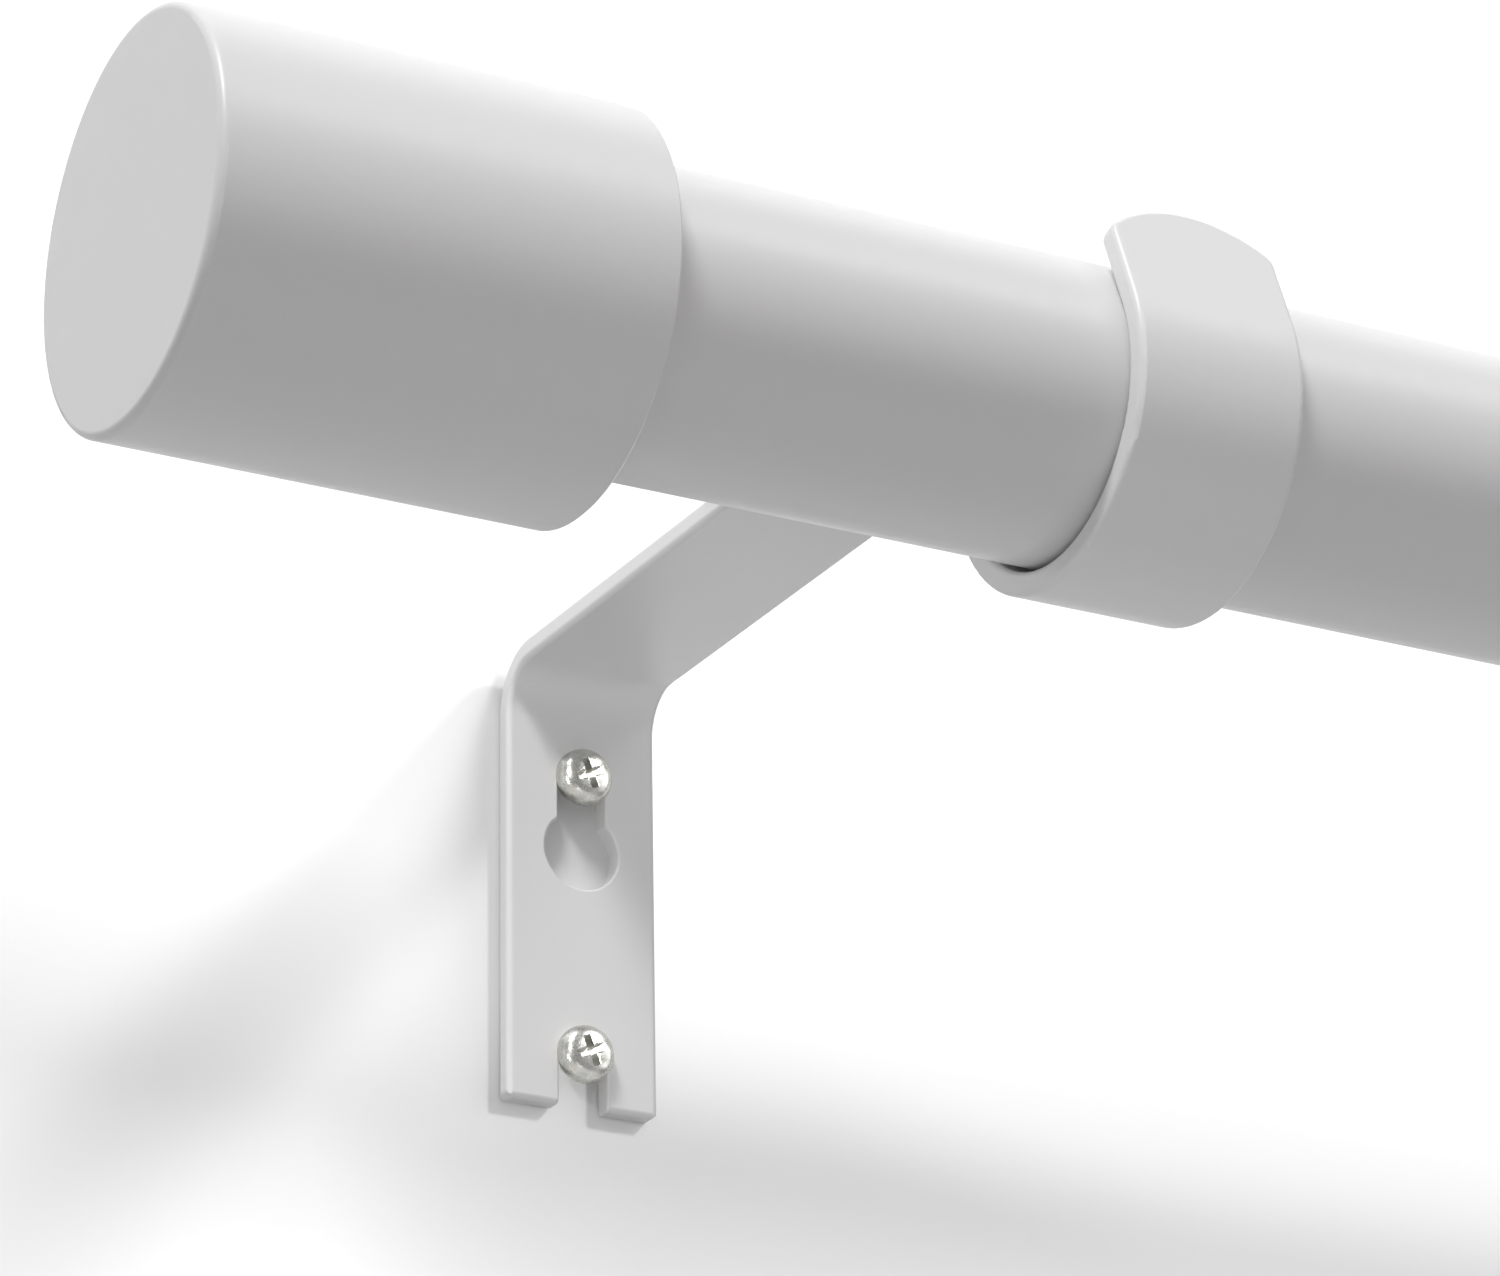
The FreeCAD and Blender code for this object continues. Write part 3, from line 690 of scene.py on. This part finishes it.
# all in metres
FLOOR = -1.2
HALF_STAGE = 4.0
STAGE_TOP = 3.0
STAGE_FRONT = -6.0
WALL_FACE = -0.02 * MM  # a little in front of the plates' backs
wall_paint = stage_white("wall_white", WALL_BOUNCE)
wall = stage_plane(
    "wall", upright(-HALF_STAGE, HALF_STAGE, WALL_FACE, FLOOR, STAGE_TOP), wall_paint
)
floor = stage_plane(
    "floor",
    [
        (-HALF_STAGE, STAGE_FRONT, FLOOR),
        (HALF_STAGE, STAGE_FRONT, FLOOR),
        (HALF_STAGE, 0, FLOOR),
        (-HALF_STAGE, 0, FLOOR),
    ],
    stage_white("floor_white", FLOOR_BOUNCE),
)
print("stage: a wall behind the brackets and a floor", -FLOOR, "m below")

# %% [markdown]
# In the picture the wall is a middle grey where the keyhole shows it, because little light
# gets in behind the plate. The lamps that make the open wall white would fill that hole
# too. So behind the plate lies a second, small piece of wall, which those lamps leave
# out. It ends behind the lower screw's head and short of the flat plate's top and sides,
# where its edges can't be seen.

# %% The wall behind the plate
PATCH_FACE = -0.05 * MM
PATCH_TOP = 36 * MM  # over the plate's foot
PLATE_MARGIN = 0.4 * MM
low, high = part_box("left_bracket")
patch_left, patch_right = low.x + PLATE_MARGIN, high.x - PLATE_MARGIN
screw_low, screw_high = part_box("left_lower_screw")
patch_foot = (screw_low.z + screw_high.z) / 2
stage_plane(
    "wall_behind_plate",
    upright(patch_left, patch_right, PATCH_FACE, patch_foot, low.z + PATCH_TOP),
    wall_paint,
)
print("wall behind the plate:", round((patch_right - patch_left) / MM, 1), "mm wide")

# %% [markdown]
# ## Light
#
# The rod is brightest on top and falls to an even grey from its middle down. So a soft
# lamp stands up to the left and in front, a weak long one up to the right, and the rest is
# even light from all round, nearly as strong.
#
# The rod shows no trace of the lamps that throw its shadows on the wall, so these are
# linked to the wall, the floor and the screws alone. One in front throws the broad band
# below the rod, and one low at the left, which the brackets don't block, carries that
# band on to the left. One up at the right draws the arm's slanting shadow: only brackets
# stand in its way, because the rod's shadow from there isn't in the picture. The last
# comes from far round to the right and leaves the narrow shade along the plate's left edge.
#
# A lamp's strength is given as the brightness of a white card that faces it, where 1
# is white. For a lamp far off, that takes pi squared times the distance squared, in
# watts.

# %% Lamps and world
AIM = Vector((0.0, -0.06, 0.0))
LAMP_DISTANCE = 2.0
WORLD_LIGHT = 0.43


def hang_lamp(data, place, away, receivers, blockers):
    """Puts a lamp in its place with its back towards away, and links its two lists."""
    lamp = bpy.data.objects.new(data.name, data)
    lamp.location = place
    lamp.rotation_mode = "QUATERNION"
    lamp.rotation_quaternion = away.to_track_quat("Z", "Y")
    bpy.context.scene.collection.objects.link(lamp)
    lamp.light_linking.receiver_collection = receivers
    lamp.light_linking.blocker_collection = blockers


def soft_lamp(name, azimuth, elevation, width, height, strength, receivers, blockers=None):
    """An oblong lamp that looks at the bracket; azimuth 0 is in front and 90 at the right."""
    a = math.radians(azimuth)
    e = math.radians(elevation)
    away = Vector((math.sin(a) * math.cos(e), -math.cos(a) * math.cos(e), math.sin(e)))
    data = bpy.data.lights.new(name, "AREA")
    data.shape = "RECTANGLE"
    data.size = width
    data.size_y = height
    data.energy = strength * (math.pi * LAMP_DISTANCE) ** 2
    hang_lamp(data, AIM + away * LAMP_DISTANCE, away, receivers, blockers)


def light_list(name, state, pieces):
    """What a lamp lights, or what blocks it: these pieces only, or all but these."""
    listed = bpy.data.collections.new(name)
    for piece in pieces:
        listed.objects.link(piece)
    for member in listed.collection_objects:
        member.light_linking.link_state = state
    return listed


screws = [bpy.data.objects[name.replace("screw", "pan_head_screw")] for name in SCREWS]
brackets = [nodes["left_bracket"], nodes["right_bracket"]]
wall_and_screws = light_list("wall_and_screws", "INCLUDE", [wall, floor] + screws)
not_open_wall = light_list("not_open_wall", "EXCLUDE", [wall, floor])
plate_and_screws = light_list("plate_and_screws", "INCLUDE", [nodes["left_bracket"]] + screws)
only_brackets = light_list("only_brackets", "INCLUDE", brackets)
not_brackets = light_list("not_brackets", "EXCLUDE", brackets)
not_screws = light_list("not_screws", "EXCLUDE", screws)

# two angles in degrees, width and height in metres, strength, what it lights, what blocks it
soft_lamp("key_lamp", -47, 53, 0.45, 0.45, 0.64, not_open_wall)
soft_lamp("strip_lamp", 42, 48, 1.2, 0.4, 0.11, not_open_wall)
soft_lamp("front_shadow_lamp", 5, 17, 0.18, 0.46, 0.37, wall_and_screws)
soft_lamp("left_shadow_lamp", -44, 17.5, 0.39, 0.14, 0.36, wall_and_screws, not_brackets)
soft_lamp("arm_shadow_lamp", 33, 32, 0.24, 0.24, 0.32, wall_and_screws, only_brackets)
soft_lamp("wall_fill_lamp", 58, 10, 1.1, 1.3, 0.30, wall_and_screws)

world = bpy.data.worlds.new("world")
bpy.context.scene.world = world
world.use_nodes = True
background = world.node_tree.nodes["Background"]
background.inputs["Color"].default_value = linear("fffcff")
background.inputs["Strength"].default_value = WORLD_LIGHT
print("lamps:", [lamp.name for lamp in bpy.data.lights])

# %% [markdown]
# The plate and the arm's underside are lighter in the picture than the rod is, and the
# right-hand walls of the keyhole and the slot are as light as the plate. So light comes in
# past the rod, from the floor in front and low from the left. Two narrow soft spots
# aimed at the plate do that. The screws don't stand in their way, because the picture has
# no shade beside the heads. A spot throws light all round, so a white card that faces it
# needs four times pi squared times the distance squared, in watts.

# %% Spots on the plate
SPOT_RADIUS = 0.09
SPOT_BLEND = 0.7


def plate_spot(name, place, strength, cone):
    """A spot lamp that looks at the plate, with a cone in degrees and a soft rim."""
    data = bpy.data.lights.new(name, "SPOT")
    data.energy = strength * (2 * math.pi * place.length) ** 2
    data.spot_size = math.radians(cone)
    data.spot_blend = SPOT_BLEND
    data.shadow_soft_size = SPOT_RADIUS
    hang_lamp(data, place, place, plate_and_screws, not_screws)
    print(name, round(data.energy, 2), "W")


plate_spot("floor_spot", Vector((-0.128, -0.60, -0.355)), 0.14, 7)
plate_spot("left_spot", Vector((-0.62, -0.29, -0.146)), 0.66, 10)
